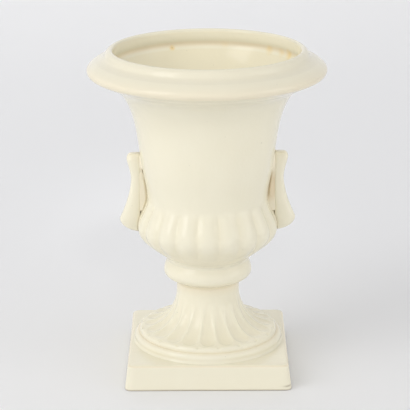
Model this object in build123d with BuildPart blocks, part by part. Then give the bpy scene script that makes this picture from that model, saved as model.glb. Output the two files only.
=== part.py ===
"""Urn vase of glazed earthenware: a lobed bell bowl on a fluted socle and a square plinth.

Every casting is hollow, and the castings and handles are joined by thin layers of slip (liquid clay).
Sizes are in millimetres. The vase stands on z = 0 with its axis on +Z, and its handles lie along X.
"""

import os
from math import cos, radians, sin, sqrt, tan

from build123d import *

os.makedirs("parts", exist_ok=True)

# Ornament shared by the bowl and the socle (a flute starts and ends at an angle of the socle's flare)
LOBE_COUNT = 20
LOBE_DEPTH = 2.0
FLUTE_DEPTH = 1.2
FLUTE_SHARE = 0.84
FLUTE_START = 3.0
FLUTE_END = 86.0
PIT_RADIUS = 1.0

# Joints: thickness of the slip, its hairline off the curved bowl, the two seats and the locating rings
SEAM = 0.6
HAIRLINE = 0.05
CUP_SEAT = 6.3
RING_SEAT = 6.6
RING_PLAY = 0.5
LOCATING_RING_WALL = 4.0
LOCATING_RING_HEIGHT = 4.0
COLLAR_RING_WALL = 3.5
COLLAR_RING_HEIGHT = 3.0

# Plinth, with a flat margin around the socle's bottom ring
PLINTH_MARGIN = 5.5
PLINTH_HEIGHT = 17.5
PLINTH_TAPER = 7.0
PLINTH_CORNER = 4.0
PLINTH_TOP_ROUND = 2.0
PLINTH_FOOT_ROUND = 0.8
PLINTH_WALL = 6.0
PLINTH_DECK = 5.5

# Socle, from the bottom ring up to the knop
RING_RADIUS = 52.0
RING_HEIGHT = 6.0
RING_REACH = 5.2
SKIRT_HEIGHT = 3.4
FLARE_HEIGHT = 27.5
STEM_RADIUS = 22.0
STEM_LENGTH = 6.0
KNOP_HEIGHT = 17.9
KNOP_SWELL = 3.3
KNOP_STEP = 1.3
SOCLE_WALL = 5.8

# Bowl, from the lobed cup up to the lip
CUP_BASE_RADIUS = 28.8
BULGE_RADIUS = 49.7
BULGE_HEIGHT = 22.5
NECK_HEIGHT = 20.5
BELL_FOOT_RADIUS = 42.0
BELL_TOP_RADIUS = 73.3
BELL_HEIGHT = 84.5
BOWL_WALL = 5.0
BOWL_FLOOR = 5.5
RIM_OVERHANG = 8.7
RIM_WIDTH = 18.0
FLANGE_HEIGHT = 12.9
COLLAR_HEIGHT = 7.6
LIP_ROUND = 1.8

# Handles: ears bedded on the bell above and on the lobes below, the left one set a little lower
HANDLE_RISE = 32.5
HANDLE_UNDERHANG = 3.0
HANDLE_GAP = 4.9
HANDLE_TOP_REACH = 14.4
HANDLE_WAIST_REACH = 11.0
HANDLE_BELLY_REACH = 11.5
HANDLE_WAIST_RISE = 14.5
HANDLE_BELLY_RISE = 6.3
HANDLE_FLARE = 1.7
HANDLE_TOP_WIDTH = 10.0
HANDLE_BELLY_WIDTH = 12.5
HANDLE_TOP_ROUND = 5.0
HANDLE_FOOT_ROUND = 9.0
LEFT_HANDLE_SAG = 1.2
SLIP_WIDTH = 6.5
BED_HEIGHT = 9.0

# Levels of the joints and of the main changes of shape
socle_z = PLINTH_HEIGHT + SEAM
skirt_z = socle_z + RING_HEIGHT
flare_z = skirt_z + SKIRT_HEIGHT
stem_z = flare_z + FLARE_HEIGHT
knop_z = stem_z + STEM_LENGTH
socle_top_z = knop_z + KNOP_HEIGHT
bowl_z = socle_top_z + SEAM
bulge_z = bowl_z + BULGE_HEIGHT
bell_z = bulge_z + NECK_HEIGHT
rim_z = bell_z + BELL_HEIGHT
flange_z = rim_z + FLANGE_HEIGHT
top_z = flange_z + COLLAR_HEIGHT
handle_top_z = bell_z + HANDLE_RISE
handle_foot_z = bulge_z - HANDLE_UNDERHANG
waist_z = bell_z + HANDLE_WAIST_RISE
belly_z = bulge_z + HANDLE_BELLY_RISE

# Radii and widths that follow from the sizes above
pitch = 360.0 / LOBE_COUNT
rim_radius = BELL_TOP_RADIUS + RIM_OVERHANG
mouth_radius = rim_radius - RIM_WIDTH
bell_flare = BELL_TOP_RADIUS - BELL_FOOT_RADIUS
knop_top_radius = CUP_BASE_RADIUS - KNOP_STEP
knop_radius = knop_top_radius + KNOP_SWELL
socket_radius = CUP_BASE_RADIUS - CUP_SEAT
locating_ring_radius = socket_radius - RING_PLAY
stem_bore_radius = STEM_RADIUS - SOCLE_WALL
flare_radius = RING_RADIUS - RING_REACH
flare_width = flare_radius - STEM_RADIUS
ring_base_radius = RING_RADIUS - 0.27 * RING_REACH
ring_crease_radius = RING_RADIUS - 0.56 * RING_REACH
skirt_bore_radius = ring_base_radius - RING_SEAT
collar_ring_radius = skirt_bore_radius - RING_PLAY
plinth_hole_radius = collar_ring_radius - COLLAR_RING_WALL
plinth_side = 2 * (RING_RADIUS + PLINTH_MARGIN)
handle_back_radius = BELL_FOOT_RADIUS + HANDLE_GAP


def cubic(p0, p1, p2, p3, t):
    """Point of a four-point curve at t, with t from 0 to 1."""
    s = 1 - t
    return tuple(
        s**3 * a + 3 * s * s * t * b + 3 * s * t * t * c + t**3 * d
        for a, b, c, d in zip(p0, p1, p2, p3)
    )


def cup_crest(share):
    """Radius and height of the lobe crests at a share of the way from the cup's foot to its top."""
    foot = (CUP_BASE_RADIUS, bowl_z)
    bulge = (BULGE_RADIUS, bulge_z)
    top = (BELL_FOOT_RADIUS, bell_z)
    flank = (CUP_BASE_RADIUS + 0.38 * (BULGE_RADIUS - CUP_BASE_RADIUS), bowl_z + 0.27 * BULGE_HEIGHT)
    below = (BULGE_RADIUS, bulge_z - 0.38 * BULGE_HEIGHT)
    above = (BULGE_RADIUS, bulge_z + 0.39 * NECK_HEIGHT)
    neck = (BELL_FOOT_RADIUS + 0.156 * (BULGE_RADIUS - BELL_FOOT_RADIUS), bell_z - 0.293 * NECK_HEIGHT)
    if share <= 0.5:
        return cubic(foot, flank, below, bulge, 2 * share)
    return cubic(bulge, above, neck, top, 2 * share - 1)


def lobe_depth(share):
    """Depth of the grooves between the lobes: full at the bulge, a tenth at the foot, none at the top."""
    if share <= 0.5:
        return LOBE_DEPTH * (0.1 + 0.9 * sin(radians(180 * share)))
    return LOBE_DEPTH * (1 - (2 * share - 1) ** 5)


def bell_line(start, end, shares, end_direction):
    """Draw a bell curve from start to end through its shares of the bell's flare and height."""
    through = [(start[0] + flare * bell_flare, bell_z + rise * BELL_HEIGHT) for flare, rise in shares]
    return Spline(start, *through, end, tangents=((0, 1), end_direction))


def bowl_form(grow):
    """Solid outside form of the cup and the bell, larger by grow all round."""
    with BuildPart() as form:
        for step in range(13):
            radius, z = cup_crest(step / 12)
            crest = radius + grow
            groove = crest - lobe_depth(step / 12)
            with BuildSketch(Plane.XY.offset(z)):
                with BuildLine():
                    for lobe in range(LOBE_COUNT):
                        middle = lobe * pitch
                        start = Vector(groove, 0).rotate(Axis.Z, middle - pitch / 2)
                        end = Vector(groove, 0).rotate(Axis.Z, middle + pitch / 2)
                        ThreePointArc(start, Vector(crest, 0).rotate(Axis.Z, middle), end)
                make_face()
        loft()
        with BuildSketch(Plane.XZ):
            with BuildLine():
                wall = bell_line(
                    (BELL_FOOT_RADIUS + grow, bell_z),
                    (BELL_TOP_RADIUS + grow, rim_z),
                    ((0.093, 0.231), (0.214, 0.55), (0.428, 0.822), (0.655, 0.934)),
                    (0.855, 0.518),
                )
                Polyline(wall @ 1, (0, rim_z), (0, bell_z), wall @ 0)
            make_face()
        revolve(axis=Axis.Z)
    return form.part


# Bowl: outside form, rim, hollow and locating ring
with BuildPart() as bowl:
    add(bowl_form(0))
    lip_inner = (mouth_radius, top_z - LIP_ROUND)
    with BuildSketch(Plane.XZ):
        with BuildLine():
            bead_foot = (rim_radius - 0.253 * RIM_OVERHANG, rim_z + 0.233 * FLANGE_HEIGHT)
            bead_edge = (rim_radius, rim_z + 0.481 * FLANGE_HEIGHT)
            bead_top = (rim_radius - 0.08 * RIM_OVERHANG, rim_z + 0.651 * FLANGE_HEIGHT)
            flange_swell = (rim_radius - 0.197 * RIM_WIDTH, rim_z + 0.847 * FLANGE_HEIGHT)
            flange = (rim_radius - 0.378 * RIM_WIDTH, flange_z)
            collar_crease = (mouth_radius + 0.452 * RIM_WIDTH, flange_z + 0.17 * COLLAR_HEIGHT)
            collar_foot = (mouth_radius + 0.333 * RIM_WIDTH, flange_z + 0.35 * COLLAR_HEIGHT)
            collar_swell = (mouth_radius + 0.261 * RIM_WIDTH, flange_z + 0.75 * COLLAR_HEIGHT)
            lip_top = (mouth_radius + 1.056 * LIP_ROUND, top_z)
            lip_turn = (mouth_radius + 0.278 * LIP_ROUND, top_z - 0.333 * LIP_ROUND)
            Line((BELL_TOP_RADIUS, rim_z), bead_foot)
            ThreePointArc(bead_foot, bead_edge, bead_top)
            ThreePointArc(bead_top, flange_swell, flange)
            ThreePointArc(flange, collar_crease, collar_foot)
            ThreePointArc(collar_foot, collar_swell, lip_top)
            ThreePointArc(lip_top, lip_turn, lip_inner)
            Polyline(lip_inner, (0, lip_inner[1]), (0, rim_z), (BELL_TOP_RADIUS, rim_z))
        make_face()
    revolve(axis=Axis.Z)
    with BuildSketch(Plane.XZ):
        with BuildLine():
            floor_z = bowl_z + BOWL_FLOOR
            belly_radius = BULGE_RADIUS - LOBE_DEPTH - BOWL_WALL
            floor_edge = (0.63 * CUP_BASE_RADIUS, floor_z)
            belly = (belly_radius, bulge_z)
            throat = (BELL_FOOT_RADIUS - BOWL_WALL, bell_z - 0.1 * NECK_HEIGHT)
            ledge = (mouth_radius + 0.022 * RIM_WIDTH, rim_z + 0.496 * FLANGE_HEIGHT)
            groove_foot = (mouth_radius + 0.072 * RIM_WIDTH, rim_z + 0.636 * FLANGE_HEIGHT)
            groove_back = (mouth_radius + 0.111 * RIM_WIDTH, rim_z + 0.8 * FLANGE_HEIGHT)
            groove_top = (mouth_radius + 0.078 * RIM_WIDTH, rim_z + 0.977 * FLANGE_HEIGHT)
            Line((0, floor_z), floor_edge)
            Bezier(
                floor_edge,
                (0.86 * belly_radius, floor_z),
                (belly_radius, bulge_z - 0.45 * BULGE_HEIGHT),
                belly,
            )
            Bezier(
                belly,
                (belly_radius, bulge_z + 0.37 * NECK_HEIGHT),
                (throat[0], throat[1] - 0.37 * NECK_HEIGHT),
                throat,
            )
            bell_line(
                throat,
                ledge,
                ((0.093, 0.237), (0.211, 0.556), (0.441, 0.847), (0.703, 0.976)),
                (0.45, 0.89),
            )
            Line(ledge, groove_foot)
            ThreePointArc(groove_foot, groove_back, groove_top)
            Line(groove_top, lip_inner)
            above_z = top_z + LIP_ROUND
            Polyline(lip_inner, (mouth_radius, above_z), (0, above_z), (0, floor_z))
        make_face()
    revolve(axis=Axis.Z, mode=Mode.SUBTRACT)
    with BuildSketch(Plane.XY.offset(bowl_z)):
        Circle(locating_ring_radius)
        Circle(locating_ring_radius - LOCATING_RING_WALL, mode=Mode.SUBTRACT)
    extrude(amount=-LOCATING_RING_HEIGHT)
bowl.part.label = "bowl"
export_step(bowl.part, "parts/bowl.step")


def flare_point(angle):
    """Point of the socle's hollow flare: angle 0 at the stem, 90 at the skirt."""
    return (
        flare_radius - flare_width * cos(radians(angle)),
        stem_z - FLARE_HEIGHT * sin(radians(angle)),
    )


# One flute: a canoe shape that follows the flare and is cut out of it once for each lobe
with BuildPart() as flute:
    for share in (0.03, 0.14, 0.3, 0.46, 0.6, 0.72, 0.82, 0.9, 0.955, 0.99):
        angle = FLUTE_START + (FLUTE_END - FLUTE_START) * share
        radius, z = flare_point(angle)
        along = Vector(flare_width * sin(radians(angle)), 0, -FLARE_HEIGHT * cos(radians(angle)))
        opening = min(1.0, sqrt(share / 0.4))
        closing = sqrt(1 - (max(0.0, share - 0.74) / 0.26) ** 2)
        half_pitch = radius * tan(radians(pitch / 2))
        half_width = FLUTE_SHARE * half_pitch * (0.45 + 0.55 * opening) * closing
        with BuildSketch(Plane((radius, 0, z), x_dir=(0, 1, 0), z_dir=along)):
            Ellipse(half_width, FLUTE_DEPTH * opening * closing)
    loft()

# Socle: bottom ring, fluted flare, stem and knop, hollow right through
with BuildPart() as socle:
    with BuildSketch(Plane.XZ):
        with BuildLine():
            ring_foot = (ring_base_radius, socle_z)
            ring_crease = (ring_crease_radius, skirt_z)
            skirt_foot = (ring_crease_radius - 0.13 * RING_REACH, skirt_z)
            skirt_knee = (ring_crease_radius - 0.21 * RING_REACH, skirt_z + 0.65 * SKIRT_HEIGHT)
            skirt_top = flare_point(90)
            knop_foot = (STEM_RADIUS, knop_z)
            knop_belly = (knop_radius, knop_z + 0.466 * KNOP_HEIGHT)
            knop_top = (knop_top_radius, socle_top_z)
            skirt_bore = (skirt_bore_radius, socle_z + 0.65 * RING_HEIGHT)
            stem_bore = (stem_bore_radius, stem_z - 0.11 * FLARE_HEIGHT)
            ThreePointArc(ring_foot, (RING_RADIUS, socle_z + 0.45 * RING_HEIGHT), ring_crease)
            Line(ring_crease, skirt_foot)
            ThreePointArc(skirt_foot, skirt_knee, skirt_top)
            EllipticalCenterArc((flare_radius, stem_z), flare_width, FLARE_HEIGHT, 180, arc_size=90)
            Line(flare_point(0), knop_foot)
            Bezier(
                knop_foot,
                (STEM_RADIUS, knop_z + 0.184 * KNOP_HEIGHT),
                (knop_radius, knop_z + 0.141 * KNOP_HEIGHT),
                knop_belly,
            )
            Bezier(
                knop_belly,
                (knop_radius, knop_z + 0.64 * KNOP_HEIGHT),
                (knop_top_radius + 0.58 * KNOP_SWELL, knop_z + 0.8 * KNOP_HEIGHT),
                knop_top,
            )
            Polyline(
                knop_top,
                (socket_radius, socle_top_z),
                (socket_radius, socle_top_z - 3 * LOCATING_RING_HEIGHT),
                (stem_bore_radius, knop_z + 0.05 * KNOP_HEIGHT),
                stem_bore,
            )
            EllipticalCenterArc(
                (skirt_bore_radius, stem_bore[1]),
                skirt_bore_radius - stem_bore_radius,
                stem_bore[1] - skirt_bore[1],
                180,
                arc_size=90,
            )
            Polyline(skirt_bore, (skirt_bore_radius, socle_z), ring_foot)
        make_face()
    revolve(axis=Axis.Z)
    with PolarLocations(0, LOBE_COUNT):
        add(flute.part, mode=Mode.SUBTRACT)
    with Locations((0, 0, flare_z)):
        with PolarLocations(flare_radius, LOBE_COUNT, start_angle=pitch / 2):
            Sphere(PIT_RADIUS, mode=Mode.SUBTRACT)
socle.part.label = "socle"
export_step(socle.part, "parts/socle.step")

# Plinth: a hollow square slab, open beneath, with a ring on its deck that locates the socle
with BuildPart() as plinth:
    with BuildSketch():
        RectangleRounded(plinth_side, plinth_side, PLINTH_CORNER)
    extrude(amount=PLINTH_HEIGHT, taper=PLINTH_TAPER)
    fillet(plinth.edges().group_by(Axis.Z)[-1], PLINTH_TOP_ROUND)
    fillet(plinth.edges().group_by(Axis.Z)[0], PLINTH_FOOT_ROUND)
    inner_side = plinth_side - 2 * PLINTH_WALL
    with BuildSketch():
        RectangleRounded(inner_side, inner_side, PLINTH_CORNER)
    extrude(amount=PLINTH_HEIGHT - PLINTH_DECK, taper=PLINTH_TAPER, mode=Mode.SUBTRACT)
    with BuildSketch(Plane.XY.offset(PLINTH_HEIGHT)):
        Circle(collar_ring_radius)
    extrude(amount=COLLAR_RING_HEIGHT)
    with BuildSketch():
        Circle(plinth_hole_radius)
    extrude(amount=PLINTH_HEIGHT + COLLAR_RING_HEIGHT, mode=Mode.SUBTRACT)
plinth.part.label = "plinth"
export_step(plinth.part, "parts/plinth.step")

# Seams of slip between the castings
with BuildPart() as plinth_seam:
    with BuildSketch(Plane.XY.offset(PLINTH_HEIGHT)):
        Circle(ring_base_radius)
        Circle(skirt_bore_radius, mode=Mode.SUBTRACT)
    extrude(amount=SEAM)
plinth_seam.part.label = "plinth_seam"
export_step(plinth_seam.part, "parts/plinth_seam.step")

with BuildPart() as bowl_seam:
    with BuildSketch(Plane.XY.offset(socle_top_z)):
        Circle(knop_top_radius)
        Circle(socket_radius, mode=Mode.SUBTRACT)
    extrude(amount=SEAM)
bowl_seam.part.label = "bowl_seam"
export_step(bowl_seam.part, "parts/bowl_seam.step")


def smooth_step(t):
    """Ease from 0 to 1 with a flat start and end."""
    t = min(1.0, max(0.0, t))
    return t * t * (3 - 2 * t)


def handle_section(z):
    """Outer reach and width of the handle at height z, rounded off towards both ends."""
    top = BELL_FOOT_RADIUS + HANDLE_TOP_REACH
    waist = BELL_FOOT_RADIUS + HANDLE_WAIST_REACH
    belly = BULGE_RADIUS + HANDLE_BELLY_REACH
    rise = smooth_step((z - waist_z) / (handle_top_z - waist_z))
    fall = min(1.0, max(0.0, (waist_z - z) / (waist_z - belly_z))) ** HANDLE_FLARE
    reach = waist + (top - waist) * rise + (belly - waist) * fall
    width = HANDLE_TOP_WIDTH + (HANDLE_BELLY_WIDTH - HANDLE_TOP_WIDTH) * fall
    into_top = max(0.0, 1 - (handle_top_z - z) / HANDLE_TOP_ROUND)
    into_foot = max(0.0, 1 - (z - handle_foot_z) / HANDLE_FOOT_ROUND)
    top_share = sqrt(1 - into_top**2)
    foot_share = sqrt(1 - into_foot**2)
    reach = handle_back_radius + (reach - handle_back_radius) * foot_share
    reach -= 0.7 * HANDLE_TOP_ROUND * (1 - top_share)
    return reach, width * (0.45 + 0.55 * top_share * foot_share)


# One whole handle on the +X side, before it is dressed to the bowl, with its back cut flat
with BuildPart() as ear:
    blank_back = handle_back_radius - 0.2 * HANDLE_TOP_WIDTH
    for share in (0.004, 0.03, 0.08, 0.16, 0.26, 0.36, 0.47, 0.58, 0.7, 0.82, 0.91, 0.95, 0.978, 0.994):
        z = handle_foot_z + share * (handle_top_z - handle_foot_z)
        reach, width = handle_section(z)
        depth = reach - blank_back
        with BuildSketch(Plane((blank_back + depth / 2, 0, z))):
            RectangleRounded(depth, width, 0.46 * min(depth, width))
    loft()
    split(bisect_by=Plane((handle_back_radius, 0, 0), z_dir=(1, 0, 0)))

# Plates that fill the slot behind a handle: full width at both ends and narrower between
with BuildPart() as plates:
    slot_low_z = handle_foot_z + 0.2 * BED_HEIGHT
    slot_high_z = handle_top_z - 0.4 * HANDLE_TOP_ROUND
    for low_z, high_z, bed_width in (
        (slot_low_z, slot_low_z + BED_HEIGHT, 0.84 * HANDLE_BELLY_WIDTH),
        (slot_low_z, slot_high_z, SLIP_WIDTH),
        (slot_high_z - 0.8 * BED_HEIGHT, slot_high_z, 0.84 * HANDLE_TOP_WIDTH),
    ):
        with BuildSketch(Plane.XZ):
            with Locations((handle_back_radius, low_z)):
                Rectangle(2 * HANDLE_GAP, high_z - low_z, align=(Align.MAX, Align.MIN))
        extrude(amount=bed_width / 2, both=True)


slip_face = bowl_form(HAIRLINE)
bedding = bowl_form(SEAM)


def dress_to_bowl(blank):
    """Cut a handle blank back to one layer of slip off the bowl."""
    with BuildPart() as handle:
        add(blank)
        add(bedding, mode=Mode.SUBTRACT)
    return handle.part


def slip_behind(blank, fill, handle):
    """Slip that fills the room between a handle and the bowl."""
    with BuildPart() as slip:
        add(blank)
        add(fill)
        add(handle, mode=Mode.SUBTRACT)
        add(slip_face, mode=Mode.SUBTRACT)
    return slip.part


other_side = Location((0, 0, -LEFT_HANDLE_SAG), (0, 0, 180))

with BuildPart() as right_handle:
    add(dress_to_bowl(ear.part))
right_handle.part.label = "right_handle"
export_step(right_handle.part, "parts/right_handle.step")

with BuildPart() as left_handle:
    add(dress_to_bowl(ear.part.moved(other_side)))
left_handle.part.label = "left_handle"
export_step(left_handle.part, "parts/left_handle.step")

with BuildPart() as handle_seams:
    add(slip_behind(ear.part, plates.part, right_handle.part))
    add(slip_behind(ear.part.moved(other_side), plates.part.moved(other_side), left_handle.part))
handle_seams.part.label = "handle_seams"
export_step(handle_seams.part, "parts/handle_seams.step")
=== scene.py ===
# %% [markdown]
# A cream-glazed urn vase, dressed for a studio photograph. The real vase is cast earthenware: a bell bowl
# with a lobed cup, a fluted socle, a square plinth and two ear handles, joined with slip (liquid clay) and
# covered with one coat of glaze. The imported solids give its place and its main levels. This lesson makes
# smooth, glaze-softened meshes over them, then the glaze and the light.

# %% Load the frame
import math

import bpy
import numpy as np
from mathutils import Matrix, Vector


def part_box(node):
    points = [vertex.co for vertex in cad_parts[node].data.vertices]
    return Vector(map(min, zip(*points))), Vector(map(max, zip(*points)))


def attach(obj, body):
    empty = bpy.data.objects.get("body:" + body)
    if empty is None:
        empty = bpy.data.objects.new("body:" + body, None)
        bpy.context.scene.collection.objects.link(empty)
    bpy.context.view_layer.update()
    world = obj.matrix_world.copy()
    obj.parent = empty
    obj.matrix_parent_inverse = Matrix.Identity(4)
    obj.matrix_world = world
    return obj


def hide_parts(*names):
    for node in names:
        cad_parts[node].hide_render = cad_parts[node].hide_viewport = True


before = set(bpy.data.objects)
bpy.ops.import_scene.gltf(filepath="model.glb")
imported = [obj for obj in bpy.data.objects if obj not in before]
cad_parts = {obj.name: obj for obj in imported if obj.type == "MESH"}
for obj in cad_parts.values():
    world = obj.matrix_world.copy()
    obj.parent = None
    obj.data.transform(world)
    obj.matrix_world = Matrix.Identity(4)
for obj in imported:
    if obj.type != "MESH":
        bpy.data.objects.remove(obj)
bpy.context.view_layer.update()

# %% [markdown]
# The camera comes first, because every later choice is judged through it. The photograph looks slightly
# down on the vase through a long lens, from straight in front. A tiny roll and shift put the vase's axis
# where the photograph has it.

# %% Camera
FRAME_PIXELS = 410
FOCAL_PIXELS = 1783.0
CAMERA_DISTANCE = 1.2437
CAMERA_PITCH = math.radians(17.33)
CAMERA_ROLL = math.radians(-0.25)
AIM_HEIGHT = 0.11577
AXIS_OFFSET_PIXELS = 2.5


def link_object(name, data):
    """Make an object from its data and put it in the scene."""
    made = bpy.data.objects.new(name, data)
    bpy.context.scene.collection.objects.link(made)
    return made


camera_data = bpy.data.cameras.new("photo_camera")
camera = link_object("photo_camera", camera_data)
backward = Vector((0, -math.cos(CAMERA_PITCH), math.sin(CAMERA_PITCH)))
camera.location = Vector((0, 0, AIM_HEIGHT)) + CAMERA_DISTANCE * backward
camera.rotation_euler = backward.to_track_quat("Z", "Y").to_euler()
camera.rotation_euler.rotate_axis("Z", CAMERA_ROLL)
camera_data.sensor_width = 36
camera_data.lens = camera_data.sensor_width * FOCAL_PIXELS / FRAME_PIXELS
camera_data.shift_x = -AXIS_OFFSET_PIXELS / FRAME_PIXELS
bpy.context.scene.camera = camera
print("lens", round(camera_data.lens, 1), "mm, camera at", [round(v, 3) for v in camera.location])

# %% [markdown]
# All castings are drawn as outlines in millimetres, radius against height, as a turner draws a template. A
# few small helpers turn strokes into points: straight runs, an arc through three points, a four-point bend,
# and a smooth curve through several points with a chosen direction at each end. Every stroke leaves out its
# last point, because the next stroke starts there.

# %% Outline helpers
MM = 0.001


def shift(point, outward, upward):
    """Point so many millimetres further out and further up."""
    return (point[0] + outward, point[1] + upward)


def run(start, end, count):
    """Points of a straight stroke, without its end."""
    start, end = np.array(start, float), np.array(end, float)
    return [tuple(start + (end - start) * k / count) for k in range(count)]


def runs(corners, counts):
    """Points of straight strokes from corner to corner, without the last corner."""
    strokes = [run(*ends) for ends in zip(corners, corners[1:], counts)]
    return sum(strokes, [])


def bend(p0, p1, p2, p3, count):
    """Points of a four-point curve, without its end."""
    t = np.arange(count)[:, None] / count
    weights = np.hstack([(1 - t) ** 3, 3 * t * (1 - t) ** 2, 3 * t * t * (1 - t), t**3])
    return [tuple(p) for p in weights @ np.array([p0, p1, p2, p3], float)]


def arc(start, middle, end, count):
    """Points of the circular arc through three points, without its end."""
    a, b, c = (complex(*p) for p in (start, middle, end))
    w = (c - a) / (b - a)
    centre = a + (b - a) * (w - abs(w) ** 2) / (2j * w.imag)
    turn = np.angle((c - centre) / (b - centre)) + np.angle((b - centre) / (a - centre))
    swept = [centre + (a - centre) * np.exp(1j * turn * k / count) for k in range(count)]
    return [(p.real, p.imag) for p in swept]


def smooth_curve(points, first_direction, last_direction, count):
    """Points of a cubic spline through points, with set directions at both ends, without its end."""
    points = np.array(points, float)
    steps = np.linalg.norm(np.diff(points, axis=0), axis=1)
    knots = np.concatenate([[0], np.cumsum(steps)])
    size = len(points)
    matrix, target = np.zeros((size, size)), np.zeros((size, 2))
    matrix[0, 0] = matrix[-1, -1] = 1
    target[0] = np.array(first_direction) / np.linalg.norm(first_direction)
    target[-1] = np.array(last_direction) / np.linalg.norm(last_direction)
    for i in range(1, size - 1):
        before, after = steps[i - 1], steps[i]
        matrix[i, i - 1 : i + 2] = (after, 2 * (before + after), before)
        target[i] = 3 * (points[i] - points[i - 1]) / before * after
        target[i] += 3 * (points[i + 1] - points[i]) / after * before
    slopes = np.linalg.solve(matrix, target)
    where = np.linspace(0, knots[-1], count, endpoint=False)
    i = np.minimum(size - 2, np.searchsorted(knots, where, side="right") - 1)
    h = steps[i][:, None]
    t = (where - knots[i])[:, None] / h
    stroke = (1 + 2 * t) * (1 - t) ** 2 * points[i] + t * (1 - t) ** 2 * h * slopes[i]
    stroke += t * t * (3 - 2 * t) * points[i + 1] + t * t * (t - 1) * h * slopes[i + 1]
    return [tuple(p) for p in stroke]


def soften(points, passes):
    """Round the corners of an outline as a coat of glaze does, and keep its ends."""
    points = np.array(points, float)
    for _ in range(passes):
        points[1:-1] = 0.25 * points[:-2] + 0.5 * points[1:-1] + 0.25 * points[2:]
    return points


def smooth_step(t):
    """Ease from 0 to 1 with a flat start and end."""
    t = np.clip(t, 0, 1)
    return t * t * (3 - 2 * t)


def hump(distance, width, power=2):
    """Soft hump: 1 at no distance, and close to 0 beyond twice its width."""
    return np.exp(-((distance / width) ** power))


# %% [markdown]
# The glaze is what the eye meets. It is a creamy, slightly translucent coat: deeper and yellower where it
# pooled in grooves, thin and a little peach-coloured where it drew back from edges, and faintly mottled all
# over. The mottling, the fine ripple and the round stains are used by several finishes, so they are node
# groups. Grooves and edges are known when the meshes are made, and reach the shader as attributes. The same
# attributes carry painted shade: in the cove inside the mouth, behind the handles, along the plinth's bottom
# edge and on the rim's top.

# %% Shader groups
FLOAT = "NodeSocketFloat"
VECTOR = "NodeSocketVector"


def new_group(name, inputs, outputs):
    """Make an empty shader group with named sockets, and return it with its two end nodes."""
    group = bpy.data.node_groups.new(name, "ShaderNodeTree")
    for socket_name, kind, value in inputs:
        socket = group.interface.new_socket(socket_name, in_out="INPUT", socket_type=kind)
        if value is not None:
            socket.default_value = value
    for socket_name in outputs:
        group.interface.new_socket(socket_name, in_out="OUTPUT", socket_type=FLOAT)
    return group, group.nodes.new("NodeGroupInput"), group.nodes.new("NodeGroupOutput")


def fill_inputs(tree, node, inputs):
    """Fill a node's inputs with values or links."""
    for key, value in inputs.items():
        if isinstance(value, bpy.types.NodeSocket):
            tree.links.new(value, node.inputs[key])
        else:
            node.inputs[key].default_value = value


def add_node(tree, kind, inputs=None, **settings):
    """Add a node, set its properties, and fill its inputs."""
    node = tree.nodes.new(kind)
    for key, value in settings.items():
        setattr(node, key, value)
    fill_inputs(tree, node, inputs or {})
    return node


def math_node(tree, operation, *values, **settings):
    """Add a math node and return its result."""
    inputs = dict(enumerate(values))
    return add_node(tree, "ShaderNodeMath", inputs, operation=operation, **settings).outputs["Value"]


def ramp(tree, value, source, result, **settings):
    """Map a link from one pair of limits to another pair, and return the result."""
    limits = {"From Min": source[0], "From Max": source[1], "To Min": result[0], "To Max": result[1]}
    return add_node(tree, "ShaderNodeMapRange", {"Value": value, **limits}, **settings).outputs["Result"]


def make_mottle_group():
    """Cloudy thickness of a glaze coat, its fine ripple and its dark specks."""
    group, start, end = new_group(
        "glaze mottle",
        [
            ("Place", VECTOR, None),
            ("Cloud Scale", FLOAT, 40.0),
            ("Ripple Scale", FLOAT, 260.0),
            ("Speck Scale", FLOAT, 420.0),
        ],
        ["Cloud", "Ripple", "Specks"],
    )
    place = start.outputs["Place"]
    for name, detail, roughness in (("Cloud", 4.0, 0.55), ("Ripple", 2.0, 0.5)):
        grain = {"Vector": place, "Scale": start.outputs[name + " Scale"], "Detail": detail}
        noise = add_node(group, "ShaderNodeTexNoise", {**grain, "Roughness": roughness})
        group.links.new(noise.outputs["Fac"], end.inputs[name])
    cells = add_node(group, "ShaderNodeTexVoronoi", {"Vector": place, "Scale": start.outputs["Speck Scale"]})
    near = ramp(group, cells.outputs["Distance"], (0.10, 0.16), (1.0, 0.0))
    colour = add_node(group, "ShaderNodeSeparateColor", {"Color": cells.outputs["Color"]})
    chosen = math_node(group, "GREATER_THAN", colour.outputs["Red"], 0.985)
    group.links.new(math_node(group, "MULTIPLY", near, chosen), end.inputs["Specks"])
    return group


def make_stain_group():
    """A soft spot round a point of the object, with a ragged edge."""
    group, start, end = new_group(
        "stain spot",
        [("Place", VECTOR, None), ("Centre", VECTOR, None), ("Radius", FLOAT, 0.004)],
        ["Mask"],
    )
    place = start.outputs["Place"]
    ragged = add_node(group, "ShaderNodeTexNoise", {"Vector": place, "Scale": 300.0})
    ends = {0: place, 1: start.outputs["Centre"]}
    away = add_node(group, "ShaderNodeVectorMath", ends, operation="DISTANCE")
    share = math_node(group, "DIVIDE", away.outputs["Value"], start.outputs["Radius"])
    wobble = math_node(group, "MULTIPLY_ADD", ragged.outputs["Fac"], 0.7, share)
    mask = ramp(group, wobble, (0.35, 1.35), (1.0, 0.0), interpolation_type="SMOOTHSTEP")
    group.links.new(mask, end.inputs["Mask"])
    return group


mottle_group = make_mottle_group()
stain_group = make_stain_group()
print("shader groups:", mottle_group.name, "and", stain_group.name)
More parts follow.
